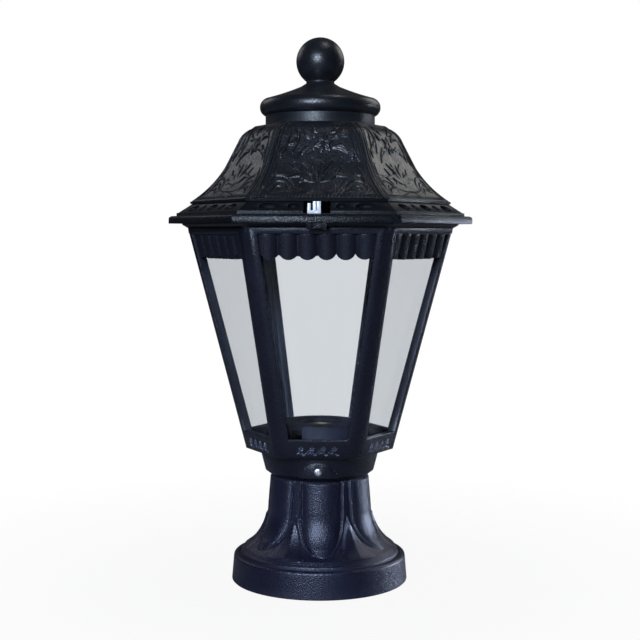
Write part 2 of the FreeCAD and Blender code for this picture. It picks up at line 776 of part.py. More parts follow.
strip_y = f"(-rim_radius * {flat} - running_gap)"
strip_slot = box("strip_slot", ("-clip_width / 2 - 0.2", "clip_width / 2 + 0.2"),
    (f"{strip_y} - clip_strip - 0.2", f"{strip_y} + 0.2"), (f"{eave_low} - 1", f"{notch_floor} + 1"))
stud_hole = cylinder("stud_hole", "stud_radius + 0.2", "roof_wall * 4", z=f"{roof_top} - roof_wall * 3")
roof_parts = [dome, carving, ribs, eave, tier, band, lip, lug_web] + lug_ears + ears
roof_tools = [hatch, cavity, dimples, notch, strip_slot, stud_hole, ear_hole]
node("roof", cut("roof_cut", fuse("roof_solid", roof_parts), roof_tools))

clip_front = f"({strip_y} - clip_strip)"
clip_parts = [
    box("clip_strip_leg", ("-clip_width / 2", "clip_width / 2"), (clip_front, strip_y),
        (f"{eave_low} - 3", f"{notch_floor} + 1")),
    box("clip_base", ("-clip_width / 2 - 3.8", "clip_width / 2"), (clip_front, f"{clip_front} + clip_depth"),
        (notch_floor, f"{notch_floor} + 2.2")),
    box("clip_bar_left", ("-clip_width / 2", "-0.3"), (clip_front, f"{clip_front} + clip_depth"),
        (notch_floor, f"{notch_floor} + clip_height")),
    box("clip_bar_right", ("0.3", "clip_width / 2"), (clip_front, f"{clip_front} + clip_depth"),
        (notch_floor, f"{notch_floor} + clip_height")),
    box("clip_back", ("-clip_width / 2", "clip_width / 2"), (f"{clip_front} + clip_depth / 2",
        f"{clip_front} + clip_depth"), (notch_floor, f"{notch_floor} + clip_height")),
    box("clip_side", ("-clip_width / 2 - 3.8", "-clip_width / 2 - 1.4"),
        (f"{clip_front} + 0.8", f"{clip_front} + clip_depth"), (notch_floor, f"{notch_floor} + clip_height * 0.85")),
]
node("latch_clip", fuse("clip_solid", clip_parts))

# cap and finial
ring_low = f"({roof_top} + collar_height)"
ring_high = f"({ring_low} + ring_height)"
dome_high = f"({ring_high} + dome_height)"
node("roof_cap", turned("cap", [
    ("collar_radius - cap_wall", roof_top),
    ("collar_radius", roof_top),
    ("collar_radius", ring_low),
    ("collar_radius + 1.2", ring_low, "ring_height * 0.36"),
    ("ring_radius", f"{ring_low} + ring_height * 0.4"),
    ("ring_radius", f"{ring_low} + ring_height * 0.7", "ring_height * 0.4"),
    ("dome_radius", ring_high),
    ("dome_top_radius", dome_high),
    ("ball_neck + 0.5", f"{cap_top} - 0.5"),
    ("ball_neck", cap_top),
    ("stud_radius + 0.2", cap_top),
    ("stud_radius + 0.2", f"{dome_high} - cap_wall * 1.5"),
    ("dome_top_radius", f"{dome_high} - cap_wall * 1.5"),
    ("dome_radius - 2 * cap_wall", f"{ring_high} - cap_wall * 1.2"),
    ("collar_radius - cap_wall", f"{ring_low} + cap_wall"),
]))
hole_top = f"({ball_mid} - 1)"
node("finial_ball", turned("ball", [
    ("stud_radius", cap_top),
    ("ball_neck", cap_top),
    ("ball_neck", f"{cap_top} + 1.4", "ball_radius"),
    ("ball_radius", ball_mid, "ball_radius"),
    ("0", f"{ball_mid} + ball_radius"),
    ("0", hole_top),
    ("stud_radius", hole_top),
]))
washer_top = f"({roof_top} - roof_wall)"
washer_low = f"({washer_top} - washer_thickness)"
node("finial_washer", turned("washer", [
    ("stud_radius + 0.2", washer_low),
    ("stud_washer", washer_low),
    ("stud_washer", washer_top),
    ("stud_radius + 0.2", washer_top),
]))
node("finial_screw", turned("stud", [
    ("0", f"{washer_low} - 4"),
    ("stud_head", f"{washer_low} - 4"),
    ("stud_head", washer_low),
    ("stud_radius", washer_low),
    ("stud_radius", hole_top),
    ("0", hole_top),
]))

doc.recompute()
for thing in doc.Objects:
    for state in thing.State:
        if state in ("Invalid", "Error"):
            raise RuntimeError(f"{thing.Label} is {state}")
for thing in nodes:
    shape = thing.Shape
    if shape.isNull() or not shape.isValid() or not shape.Solids:
        raise RuntimeError(f"{thing.Label} has no valid solid")
    shape.exportStep(f"parts/{thing.Label}.step")
    span = shape.BoundBox
    print(f"{thing.Label}: {len(shape.Solids)} solids, {len(shape.Faces)} faces, volume {shape.Volume:.0f}, "
        f"z {span.ZMin:.1f} to {span.ZMax:.1f}, x {span.XMin:.1f} to {span.XMax:.1f}, "
        f"y {span.YMin:.1f} to {span.YMax:.1f}")
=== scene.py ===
import json
import math

import bpy
import numpy as np
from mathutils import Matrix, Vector


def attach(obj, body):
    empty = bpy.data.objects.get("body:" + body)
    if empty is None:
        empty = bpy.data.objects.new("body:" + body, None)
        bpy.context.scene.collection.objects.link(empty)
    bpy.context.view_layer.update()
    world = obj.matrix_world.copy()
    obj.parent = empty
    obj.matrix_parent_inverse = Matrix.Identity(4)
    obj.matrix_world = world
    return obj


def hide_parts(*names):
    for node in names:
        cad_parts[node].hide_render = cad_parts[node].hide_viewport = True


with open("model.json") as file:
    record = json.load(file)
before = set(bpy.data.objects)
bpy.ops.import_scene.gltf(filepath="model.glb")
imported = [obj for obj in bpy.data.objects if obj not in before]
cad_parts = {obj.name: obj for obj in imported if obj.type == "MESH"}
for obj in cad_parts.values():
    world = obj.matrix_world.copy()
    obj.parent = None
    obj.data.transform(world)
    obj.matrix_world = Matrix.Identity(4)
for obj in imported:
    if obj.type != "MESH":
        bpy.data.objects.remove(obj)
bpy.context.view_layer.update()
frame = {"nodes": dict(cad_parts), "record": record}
mm = 0.001
hexSide = math.tan(math.radians(30))  # half a hexagon's side for a flat distance of one
hexFlat = math.cos(math.radians(30))  # its flat distance for a corner distance of one
print("frame loaded:", len(frame["nodes"]), "nodes")


# small helpers, as one would click them

def deselectAll():
    if bpy.context.object and bpy.context.object.mode != "OBJECT":
        bpy.ops.object.mode_set(mode="OBJECT")
    bpy.ops.object.select_all(action="DESELECT")


def pick(piece):
    deselectAll()
    piece.select_set(True)
    bpy.context.view_layer.objects.active = piece


def applyModifiers(piece):
    pick(piece)
    for modifier in list(piece.modifiers):
        bpy.ops.object.modifier_apply(modifier=modifier.name)


weldGap = 0.01 * mm
seamGap = 0.002 * mm


def cleanMesh(piece, recalc=True):
    pick(piece)
    bpy.ops.object.mode_set(mode="EDIT")
    bpy.ops.mesh.select_all(action="SELECT")
    bpy.ops.mesh.remove_doubles(threshold=weldGap)
    if recalc:
        bpy.ops.mesh.normals_make_consistent(inside=False)
    bpy.ops.object.mode_set(mode="OBJECT")


def freeze(piece):
    pick(piece)
    bpy.ops.object.transform_apply(location=True, rotation=True, scale=True)


def cutAway(piece, tool):
    cut = piece.modifiers.new("cut", "BOOLEAN")
    cut.operation = "DIFFERENCE"
    cut.object = tool
    applyModifiers(piece)
    bpy.data.objects.remove(tool)


def joinAll(pieces):
    pick(pieces[0])
    for piece in pieces:
        piece.select_set(True)
    bpy.ops.object.join()


def thicken(piece, wall):
    solidify = piece.modifiers.new("wall", "SOLIDIFY")
    solidify.thickness = wall * mm
    solidify.offset = -1
    applyModifiers(piece)
    cleanMesh(piece)


def bevelEdges(piece, width, angle, miter="MITER_SHARP"):
    bevel = piece.modifiers.new("softEdge", "BEVEL")
    bevel.width = width * mm
    bevel.segments = 2
    bevel.limit_method = "ANGLE"
    bevel.angle_limit = math.radians(angle)
    bevel.miter_outer = miter
    applyModifiers(piece)


def smoothShade(piece, angle=35):
    pick(piece)
    bpy.ops.object.shade_smooth_by_angle(angle=math.radians(angle))


def settle(piece, body, material, nodes=()):
    piece.data.materials.clear()
    piece.data.materials.append(material)
    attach(piece, body)
    if nodes:
        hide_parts(*nodes)
    return piece


def readPoints(piece):
    points = np.zeros(len(piece.data.vertices) * 3)
    piece.data.vertices.foreach_get("co", points)
    return points.reshape(-1, 3)


def writePoints(piece, points):
    piece.data.vertices.foreach_set("co", points.ravel())
    piece.data.update()


def copiedNode(name, node):
    piece = bpy.data.objects.new(name, frame["nodes"][node].data.copy())  # the CAD shape, for softer edges
    bpy.context.scene.collection.objects.link(piece)
    cleanMesh(piece, recalc=False)
    return piece


def arc(start, end, radius, steps):
    (ax, ay), (bx, by) = start, end  # a positive radius bulges to the left of the way from start to end
    dx, dy = bx - ax, by - ay
    chord = math.hypot(dx, dy)
    reach = math.sqrt(max(radius * radius - chord * chord / 4, 0))
    side = 1 if radius > 0 else -1
    cx = (ax + bx) / 2 + side * reach * dy / chord
    cy = (ay + by) / 2 - side * reach * dx / chord
    first = math.atan2(ay - cy, ax - cx)
    turn = math.atan2(by - cy, bx - cx) - first
    turn = (turn + math.pi) % (2 * math.pi) - math.pi
    size = abs(radius)
    return [(cx + size * math.cos(first + turn * i / steps), cy + size * math.sin(first + turn * i / steps))
            for i in range(steps + 1)]


def line(start, end, steps):
    return [(start[0] + (end[0] - start[0]) * i / steps, start[1] + (end[1] - start[1]) * i / steps)
            for i in range(steps + 1)]


def stops(points, steps):
    return chain(*(line(start, end, count) for start, end, count in zip(points, points[1:], steps)))


def chain(*runs):
    path = []
    for run in runs:
        path += run if not path or math.dist(path[-1], run[0]) > 1e-6 else run[1:]
    return path


def spun(name, profile, steps):
    deselectAll()  # the profile is closed, in mm from the axis and up
    mesh = bpy.data.meshes.new(name)
    count = len(profile)
    edges = [(i, (i + 1) % count) for i in range(count)]
    mesh.from_pydata([(r * mm, 0, z * mm) for r, z in profile], edges, [])
    piece = bpy.data.objects.new(name, mesh)
    bpy.context.scene.collection.objects.link(piece)
    pick(piece)
    bpy.ops.object.mode_set(mode="EDIT")
    bpy.ops.mesh.select_all(action="SELECT")
    bpy.ops.mesh.spin(steps=steps, angle=2 * math.pi, center=(0, 0, 0), axis=(0, 0, 1))
    bpy.ops.mesh.select_all(action="SELECT")
    bpy.ops.mesh.remove_doubles(threshold=seamGap)
    bpy.ops.mesh.normals_make_consistent(inside=False)
    bpy.ops.object.mode_set(mode="OBJECT")
    return piece


# shared shader groups

def newGroup(name, inputs, outputs):
    group = bpy.data.node_groups.new(name, "ShaderNodeTree")
    for socketName, kind, value in inputs:
        socket = group.interface.new_socket(socketName, in_out="INPUT", socket_type=kind)
        socket.default_value = value
    for socketName, kind in outputs:
        group.interface.new_socket(socketName, in_out="OUTPUT", socket_type=kind)
    return group, group.nodes.new("NodeGroupInput"), group.nodes.new("NodeGroupOutput")


def link(tree, start, startName, end, endName):
    tree.links.new(start.outputs[startName], end.inputs[endName])


def mathNode(tree, operation, second=None):
    node = tree.nodes.new("ShaderNodeMath")
    node.operation = operation
    if second is not None:
        node.inputs[1].default_value = second
    return node


def rangeNode(tree, low=0.0, high=1.0, toLow=0.0, toHigh=1.0):
    node = tree.nodes.new("ShaderNodeMapRange")
    for socket, value in (("From Min", low), ("From Max", high), ("To Min", toLow), ("To Max", toHigh)):
        node.inputs[socket].default_value = value
    return node


grainLook = {
    "rounding": 0.6, "fineDetail": 3, "fineScale": 0.8, "fineShare": 0.8, "patchScale": 45, "patchDetail": 4,
    "patchRange": (0.4, 0.75), "fineRange": (0.3, 0.7), "grooveReach": 9, "grooveSamples": 6,
    "grooveRange": (0.35, 0.95), "grooveDull": 0.4,
}


def makeGrainGroup():
    group, start, end = newGroup("mouldedGrain", [
        ("Scale", "NodeSocketFloat", 900.0),
        ("Base", "NodeSocketColor", (0.01, 0.011, 0.016, 1)),
        ("Worn", "NodeSocketColor", (0.03, 0.031, 0.036, 1)),
        ("Smooth", "NodeSocketFloat", 0.3),
        ("Rough", "NodeSocketFloat", 0.5),
        ("Swell", "NodeSocketFloat", 0.0),
    ], [("Color", "NodeSocketColor"), ("Roughness", "NodeSocketFloat"), ("Height", "NodeSocketFloat")])
    coords = group.nodes.new("ShaderNodeTexCoord")
    grain = group.nodes.new("ShaderNodeTexVoronoi")
    grain.feature = "SMOOTH_F1"
    grain.inputs["Smoothness"].default_value = grainLook["rounding"]
    fine = group.nodes.new("ShaderNodeTexNoise")
    fine.inputs["Detail"].default_value = grainLook["fineDetail"]
    patch = group.nodes.new("ShaderNodeTexNoise")
    patch.inputs["Scale"].default_value = grainLook["patchScale"]
    patch.inputs["Detail"].default_value = grainLook["patchDetail"]
    for node in (grain, fine, patch):
        link(group, coords, "Object", node, "Vector")
    link(group, start, "Scale", grain, "Scale")
    fineScale = mathNode(group, "MULTIPLY", grainLook["fineScale"])
    link(group, start, "Scale", fineScale, 0)
    link(group, fineScale, 0, fine, "Scale")
    # colour, from the base to the worn one in broad patches
    spread = rangeNode(group, *grainLook["patchRange"])
    link(group, patch, "Fac", spread, "Value")
    blend = group.nodes.new("ShaderNodeMix")
    blend.data_type = "RGBA"
    link(group, spread, "Result", blend, "Factor")
    link(group, start, "Base", blend, 6)
    link(group, start, "Worn", blend, 7)
    link(group, blend, 2, end, "Color")
    # roughness, duller in the grooves than on open faces
    rough = rangeNode(group, *grainLook["fineRange"])
    link(group, fine, "Fac", rough, "Value")
    link(group, start, "Smooth", rough, "To Min")
    link(group, start, "Rough", rough, "To Max")
    corners = group.nodes.new("ShaderNodeAmbientOcclusion")
    corners.samples = grainLook["grooveSamples"]
    corners.inputs["Distance"].default_value = grainLook["grooveReach"] * mm
    groove = rangeNode(group, *grainLook["grooveRange"], grainLook["grooveDull"], 0.0)
    link(group, corners, "AO", groove, "Value")
    dull = mathNode(group, "ADD")
    link(group, rough, "Result", dull, 0)
    link(group, groove, "Result", dull, 1)
    link(group, dull, 0, end, "Roughness")
    # height, the grain over a broad unevenness
    height = mathNode(group, "MULTIPLY_ADD", grainLook["fineShare"])
    link(group, fine, "Fac", height, 0)
    link(group, grain, "Distance", height, 2)
    waves = mathNode(group, "MULTIPLY_ADD")
    link(group, patch, "Fac", waves, 0)
    link(group, start, "Swell", waves, 1)
    link(group, height, 0, waves, 2)
    link(group, waves, 0, end, "Height")
    return group


grainGroup = makeGrainGroup()


def grainMaterial(name, look):
    material = bpy.data.materials.new(name)
    material.use_nodes = True
    tree = material.node_tree
    shader = tree.nodes["Principled BSDF"]
    grain = tree.nodes.new("ShaderNodeGroup")
    grain.node_tree = grainGroup
    grain.inputs["Scale"].default_value = look["scale"]
    grain.inputs["Base"].default_value = (*look["base"], 1)
    grain.inputs["Worn"].default_value = (*look["worn"], 1)
    grain.inputs["Smooth"].default_value = look["smooth"]
    grain.inputs["Rough"].default_value = look["rough"]
    grain.inputs["Swell"].default_value = look.get("swell", 0.0)
    link(tree, grain, "Color", shader, "Base Color")
    link(tree, grain, "Roughness", shader, "Roughness")
    bump = tree.nodes.new("ShaderNodeBump")
    bump.inputs["Strength"].default_value = look["bump"]
    bump.inputs["Distance"].default_value = look["depth"] * mm
    link(tree, grain, "Height", bump, "Height")
    link(tree, bump, "Normal", shader, "Normal")
    shader.inputs["Metallic"].default_value = look.get("metallic", 0.0)
    shader.inputs["Specular IOR Level"].default_value = look.get("specular", 0.5)
    shader.inputs["Specular Tint"].default_value = (*look.get("tint", (1, 1, 1)), 1)
    return material


finishLooks = {
    "blackResin": {"base": (0.0016, 0.0019, 0.0056), "worn": (0.0032, 0.0037, 0.0098),
                   "scale": 1200, "smooth": 0.22, "rough": 0.4, "bump": 0.9, "depth": 0.15, "specular": 0.5,
                   "tint": (0.92, 0.94, 1)},
    "carvedResin": {"base": (0.0021, 0.0028, 0.0046), "worn": (0.0046, 0.0056, 0.0079),
                    "scale": 800, "smooth": 0.27, "rough": 0.44, "bump": 0.8, "depth": 0.16, "specular": 0.38,
                    "swell": 16},
    "capResin": {"base": (0.0032, 0.004, 0.006), "worn": (0.006, 0.0074, 0.01),
                 "scale": 1200, "smooth": 0.27, "rough": 0.42, "bump": 0.9, "depth": 0.1, "specular": 0.41},
    "footResin": {"base": (0.0021, 0.0025, 0.0098), "worn": (0.0038, 0.0046, 0.016),
                  "scale": 1300, "smooth": 0.3, "rough": 0.44, "bump": 0.9, "depth": 0.2, "specular": 0.64,
                  "tint": (0.8, 0.82, 1)},
    "eaveResin": {"base": (0.0019, 0.0025, 0.0039), "worn": (0.0038, 0.0047, 0.0066),
                  "scale": 900, "smooth": 0.24, "rough": 0.44, "bump": 0.9, "depth": 0.16, "specular": 0.14},
    # the carved rail strip's resin is the cage's black resin painted much lighter, a painted sheen on the carving
    "paintedSheenResin": {"base": (0.021, 0.026, 0.049), "worn": (0.088, 0.098, 0.14),
                   "scale": 1100, "smooth": 0.1, "rough": 0.3, "bump": 0.9, "depth": 0.4, "specular": 1.0},
    "drumResin": {"base": (0.0065, 0.008, 0.015), "worn": (0.009, 0.0105, 0.02),
                  "scale": 1200, "smooth": 0.45, "rough": 0.6, "bump": 0.6, "depth": 0.08, "specular": 0.12},
    "blackPlastic": {"base": (0.0028, 0.0028, 0.0032), "worn": (0.0052, 0.0052, 0.0056),
                     "scale": 700, "smooth": 0.4, "rough": 0.55, "bump": 0.3, "depth": 0.1, "specular": 0.11},
    "palePlastic": {"base": (0.8, 0.79, 0.75), "worn": (0.72, 0.71, 0.68),
                    "scale": 300, "smooth": 0.25, "rough": 0.35, "bump": 0.1, "depth": 0.1},
    "clipPlastic": {"base": (0.44, 0.45, 0.47), "worn": (0.28, 0.29, 0.31),
                    "scale": 300, "smooth": 0.16, "rough": 0.3, "bump": 0.1, "depth": 0.1},
    "rubber": {"base": (0.02, 0.02, 0.02), "worn": (0.035, 0.035, 0.035),
               "scale": 600, "smooth": 0.6, "rough": 0.8, "bump": 0.3, "depth": 0.2},
    "steel": {"base": (0.62, 0.62, 0.63), "worn": (0.5, 0.5, 0.51),
              "scale": 500, "smooth": 0.28, "rough": 0.45, "bump": 0.15, "depth": 0.1, "metallic": 1.0},
    # brass darkened well below its own colour, a painted shade for the shadowed lamp mouth
    "brass": {"base": (0.18, 0.135, 0.065), "worn": (0.12, 0.09, 0.045),
              "scale": 400, "smooth": 0.4, "rough": 0.55, "bump": 0.1, "depth": 0.1, "metallic": 1.0},
    "liveCover": {"base": (0.16, 0.07, 0.03), "worn": (0.12, 0.05, 0.02),
                  "scale": 300, "smooth": 0.4, "rough": 0.55, "bump": 0.1, "depth": 0.1},
    "neutralCover": {"base": (0.05, 0.12, 0.4), "worn": (0.04, 0.09, 0.3),
                     "scale": 300, "smooth": 0.4, "rough": 0.55, "bump": 0.1, "depth": 0.1},
}
finishes = {name: grainMaterial(name, look) for name, look in finishLooks.items()}

paneLook = {"tint": (0.82, 0.84, 0.86), "roughness": 0.03, "ior": 1.3, "hazeScale": 60}


def makePaneMaterial():
    material = bpy.data.materials.new("clearPane")
    material.use_nodes = True
    tree = material.node_tree
    shader = tree.nodes["Principled BSDF"]
    shader.inputs["Transmission Weight"].default_value = 1.0
    shader.inputs["IOR"].default_value = paneLook["ior"]
    shader.inputs["Base Color"].default_value = (*paneLook["tint"], 1)
    coords = tree.nodes.new("ShaderNodeTexCoord")
    haze = tree.nodes.new("ShaderNodeTexNoise")
    haze.inputs["Scale"].default_value = paneLook["hazeScale"]
    spread = rangeNode(tree, toHigh=paneLook["roughness"])
    link(tree, coords, "Object", haze, "Vector")
    link(tree, haze, "Fac", spread, "Value")
    link(tree, spread, "Result", shader, "Roughness")
    clear = tree.nodes.new("ShaderNodeBsdfTransparent")  # lets the lamps shine through to the inside
    clear.inputs["Color"].default_value = (*paneLook["tint"], 1)
    rays = tree.nodes.new("ShaderNodeLightPath")
    mix = tree.nodes.new("ShaderNodeMixShader")
    link(tree, rays, "Is Shadow Ray", mix, 0)
    link(tree, shader, "BSDF", mix, 1)
    link(tree, clear, "BSDF", mix, 2)
    link(tree, mix, 0, tree.nodes["Material Output"], "Surface")
    return material


finishes["clearPane"] = makePaneMaterial()
print("finishes made:", len(finishes))


# camera, at the photograph's angle

cameraFit = {"lens": 71.0, "sensor": 36, "distance": 0.979, "height": 0.2672, "side": 1.4, "pitch": 3.8,
             "roll": -0.11}


def makeCamera():
    data = bpy.data.cameras.new("viewCamera")
    data.lens = cameraFit["lens"]
    data.sensor_width = cameraFit["sensor"]
    data.sensor_fit = "HORIZONTAL"
    camera = bpy.data.objects.new("viewCamera", data)
    bpy.context.scene.collection.objects.link(camera)
    side = math.radians(cameraFit["side"])
    camera.location = (cameraFit["distance"] * math.sin(side), -cameraFit["distance"] * math.cos(side),
                       cameraFit["height"])
    camera.rotation_euler = (math.radians(90 - cameraFit["pitch"]), math.radians(cameraFit["roll"]), side)
    bpy.context.scene.camera = camera
    print("camera set")


makeCamera()


# roof dome, six carved panels

roof = {
    "lipTop": 293.7, "base": 99.4, "baseUp": 0.0, "waist": 73.4, "waistUp": 26.5, "shoulder": 63.5,
    "shoulderUp": 45.5, "crown": 53.6, "crownUp": 55.0, "top": 49.4, "height": 58.0, "flare": 80.0,
    "shoulderBend": 16.0, "wall": 3.0, "columns": 230, "rows": 140, "beadIn": 2.3, "beadWide": 0.9,
    "beadHigh": 0.8, "innerIn": 4.9, "innerWide": 0.55, "innerHigh": 0.5, "fieldIn": 4.7, "fieldFade": 1.2,
    "pearlUp": 1.9, "pearlHalf": 0.9, "pearlHigh": 0.9, "pearlPitch": 2.6, "pearlIn": 6.0, "lipUp": 0.4,
    "lipHalf": 0.7, "lipHigh": 0.5, "hipFade": 0.6, "topFade": 1.5,
}

# a stroke is its points across and up the panel in mm, its half width and its height

def petal(x, z, degrees, length, half, high, bend=0.0):
    way = (math.cos(math.radians(degrees)), math.sin(math.radians(degrees)))
    middle = (x + length * (way[0] / 2 - bend * way[1]), z + length * (way[1] / 2 + bend * way[0]))
    return [(x, z), middle, (x + length * way[0], z + length * way[1])], half, high


panelStrokes = [petal(4, 41, 15 + 60 * k, 6.2, 1.8, 1.3) for k in range(6)]
panelStrokes += [
    ([(3.6, 41), (4.4, 41)], 1.9, 1.7),
    ([(-18.5, 53), (-22, 42), (-26.5, 31)], 0.6, 0.9),
    ([(-13, 47), (-15, 41), (-18.5, 34)], 0.7, 0.9),
    ([(-8, 38), (-13, 33), (-17, 27)], 0.7, 0.9),
    ([(-29, 27), (-33, 18), (-38, 10)], 0.6, 0.8),
    ([(23, 45), (26, 36), (30, 27)], 0.6, 0.8),
    ([(29, 23), (34, 15), (38, 9)], 0.6, 0.8),
    ([(-27, 11), (-10, 6.5), (0, 6), (12, 6.5), (28, 11)], 0.5, 0.7),
    petal(11, 38, -20, 11, 1.9, 1.2, 0.2), petal(-3, 37, 205, 9, 1.6, 1.1, -0.2),
    petal(12, 45, 10, 9.5, 2.1, 1.3, 0.25), petal(-3, 46, 150, 8.5, 1.6, 1.1, 0.2),
    petal(9, 49, 40, 8, 1.4, 1.1, -0.15), petal(-1, 49, 115, 7, 1.4, 1.1, 0.1),
    petal(-4, 5, 190, 11, 1.3, 0.9, 0.1), petal(5, 5, -10, 11, 1.3, 0.9, -0.1),
    petal(0, 18, -90, 8, 1.4, 1.0), petal(-22, 5.5, 185, 11, 1.4, 0.9, -0.1), petal(22, 5.5, -5, 11, 1.4, 0.9, 0.1),
    petal(-35, 9, 62, 10, 1.7, 1.1, 0.2), petal(35, 9, 118, 10, 1.7, 1.1, -0.2),
    petal(-17, 53, -72, 8, 1.2, 0.9, 0.15), petal(17, 54, -60, 8, 1.2, 0.9, -0.15),
    petal(-27, 31, 55, 8, 1.5, 1.0, 0.2), petal(25, 30, 120, 8, 1.5, 1.0, -0.2),
    petal(-21, 40, 40, 7, 1.2, 0.9, -0.2), petal(-7, 53, -10, 6, 1.1, 0.9),
]
for degrees, length, bend in ((12, 21, 0.16), (34, 20, -0.14), (56, 18, 0.12), (78, 14, -0.1), (104, 15, 0.1),
                              (126, 18, -0.12), (148, 20, 0.14), (170, 21, -0.16)):
    panelStrokes.append(petal(0, 12, degrees, length, 1.4, 1.2, bend))
    panelStrokes.append(petal(0, 12, degrees + 11, length * 0.62, 0.7, 0.9, bend))
for side in (-1, 1):
    for reach in (4.5, 8.0, 11.5):
        loop = [(side * 28 + reach * math.cos(spin), 4 + 1.15 * reach * math.sin(spin))
                for spin in np.linspace(0.25, 2.9, 9)]
        panelStrokes.append((loop, 0.6, 0.9))


def ogeePath():
    def spot(corner, up):
        return roof[corner] * hexFlat, roof["lipTop"] + roof[up]

    base, waist, shoulder = spot("base", "baseUp"), spot("waist", "waistUp"), spot("shoulder", "shoulderUp")
    crown, top = spot("crown", "crownUp"), spot("top", "height")
    return chain(arc(base, waist, roof["flare"], 40), line(waist, shoulder, 20),
                 arc(shoulder, crown, -roof["shoulderBend"], 24), line(crown, top, 6))


def evenly(path, count):
    points = np.array(path)
    steps = np.hypot(*np.diff(points, axis=0).T)
    along = np.concatenate([[0], np.cumsum(steps)])
    want = np.linspace(0, along[-1], count)
    return np.column_stack([np.interp(want, along, points[:, 0]), np.interp(want, along, points[:, 1])]), want


def curveThrough(points, count=24):
    knots = np.array(points, float)  # a smooth line through the stroke's points
    if len(knots) < 3:
        return np.column_stack([np.linspace(knots[0, i], knots[-1, i], count) for i in (0, 1)])
    padded = np.vstack([2 * knots[0] - knots[1], knots, 2 * knots[-1] - knots[-2]])
    out = []
    for k in range(1, len(padded) - 2):
        a, b, c, d = padded[k - 1:k + 3]
        t = np.linspace(0, 1, count // (len(padded) - 3) + 2)[:, None]
        out.append(0.5 * (2 * b + (c - a) * t + (2 * a - 5 * b + 4 * c - d) * t ** 2
                          + (3 * b - 3 * c + d - a) * t ** 3))
    return np.vstack(out)


carving = {"margin": 4.0, "thin": 0.35, "spread": 1.3, "roundness": 0.7, "leafHalf": 1.25, "ribDeep": 0.4,
           "ribHalf": 0.4}


def strokeRelief(across, up, strokes):
    relief = np.zeros_like(across)
    for points, half, high in strokes:
        curve = curveThrough(points)
        low, top = curve.min(0) - carving["margin"], curve.max(0) + carving["margin"]
        near = (across > low[0]) & (across < top[0]) & (up > low[1]) & (up < top[1])
        if not near.any():
            continue
        gaps = np.hypot(across[near][:, None] - curve[None, :, 0], up[near][:, None] - curve[None, :, 1])
        place = gaps.argmin(1) / (len(curve) - 1)
        thin = carving["thin"]
        taper = thin + (1 - thin) * np.sin(np.pi * np.clip(place, 0.02, 0.98))  # strokes thin out at both ends
        off = gaps.min(1)
        share = np.clip(1 - (off / (half * taper * carving["spread"])) ** 2, 0, 1) ** carving["roundness"]
        vein = 1.0
        if half > carving["leafHalf"]:  # leaves have a sunk midrib
            vein = 1 - carving["ribDeep"] * np.exp(-(off / carving["ribHalf"]) ** 2)
        relief[near] = np.maximum(relief[near], high * share * vein * (0.5 + 0.5 * taper))
    return relief


def ridge(distance, half, high, power=0.5):
    return np.clip(1 - (distance / half) ** 2, 0, 1) ** power * high


def makePanel():
    deselectAll()
    columns, rows = roof["columns"], roof["rows"]
    bpy.ops.mesh.primitive_grid_add(x_subdivisions=columns, y_subdivisions=rows, size=2)
    panel = bpy.context.object
    panel.name = "roofPanel"
    points = readPoints(panel)
    path, along = evenly(ogeePath(), rows + 1)
    u = points[:, 0]
    row = np.rint((points[:, 1] + 1) / 2 * rows).astype(int)
    slope = np.gradient(path, axis=0)
    slope /= np.hypot(slope[:, 0], slope[:, 1])[:, None]
    out, rise = slope[:, 1], -slope[:, 0]
    reach, level = path[row, 0], path[row, 1]
    half = reach * hexSide
    across = u * half
    up = level - roof["lipTop"]
    relief = strokeRelief(across, up, panelStrokes)
    edge = half - np.abs(across)
    bead = ridge(edge - roof["beadIn"], roof["beadWide"], roof["beadHigh"])
    second = ridge(edge - roof["innerIn"], roof["innerWide"], roof["innerHigh"])
    field = np.clip((edge - roof["fieldIn"]) / roof["fieldFade"], 0, 1)
    pearls = ridge(up - roof["pearlUp"], roof["pearlHalf"], roof["pearlHigh"]) * (edge > roof["pearlIn"])
    pearls *= np.clip(np.cos(across * 2 * np.pi / roof["pearlPitch"]) * 0.8 + 0.45, 0, 1) ** 0.5
    lip = ridge(up - roof["lipUp"], roof["lipHalf"], roof["lipHigh"], 1)
    relief = np.maximum.reduce([relief * field, bead, second, pearls, lip])
    relief *= np.clip(edge / roof["hipFade"], 0, 1) * np.clip((along[-1] - along[row]) / roof["topFade"], 0, 1)
    points[:, 0] = across
    points[:, 1] = -(reach + relief * out[row])
    points[:, 2] = level + relief * rise[row]
    writePoints(panel, points * mm)
    return panel


def turned(piece, degrees, name):
    copy = piece.copy()
    copy.data = piece.data.copy()
    copy.name = name
    bpy.context.scene.collection.objects.link(copy)
    copy.rotation_euler = (0, 0, math.radians(degrees))
    freeze(copy)
    return copy


faceNames = ["front", "frontRight", "backRight", "back", "backLeft", "frontLeft"]


def makeDome():
    panel = makePanel()
    thicken(panel, roof["wall"])
    smoothShade(panel, 60)
    for k, faceName in enumerate(faceNames):
        face = turned(panel, 60 * k, "roofPanel_" + faceName)
        settle(face, "lid", finishes["carvedResin"], ["roof"])
    bpy.data.objects.remove(panel)
    print("roof panels made")


makeDome()

topPlate = {"corner": 49.2, "low": 348.7, "high": 351.65, "hole": 3.5}


def makeTopPlate():
    deselectAll()
    depth = topPlate["high"] - topPlate["low"]
    middle = (0, 0, (topPlate["high"] + topPlate["low"]) / 2 * mm)
    bpy.ops.mesh.primitive_cylinder_add(vertices=6, radius=topPlate["corner"] * mm, depth=depth * mm,
                                        location=middle, rotation=(0, 0, math.radians(90)))
    plate = bpy.context.object
    plate.name = "roofTopPlate"
    bpy.ops.mesh.primitive_cylinder_add(vertices=48, radius=topPlate["hole"] * mm, depth=3 * depth * mm,
                                        location=middle)
    cutAway(plate, bpy.context.object)
    freeze(plate)
    smoothShade(plate)
    settle(plate, "lid", finishes["capResin"], ["roof"])
    print("roof top plate made")


makeTopPlate()

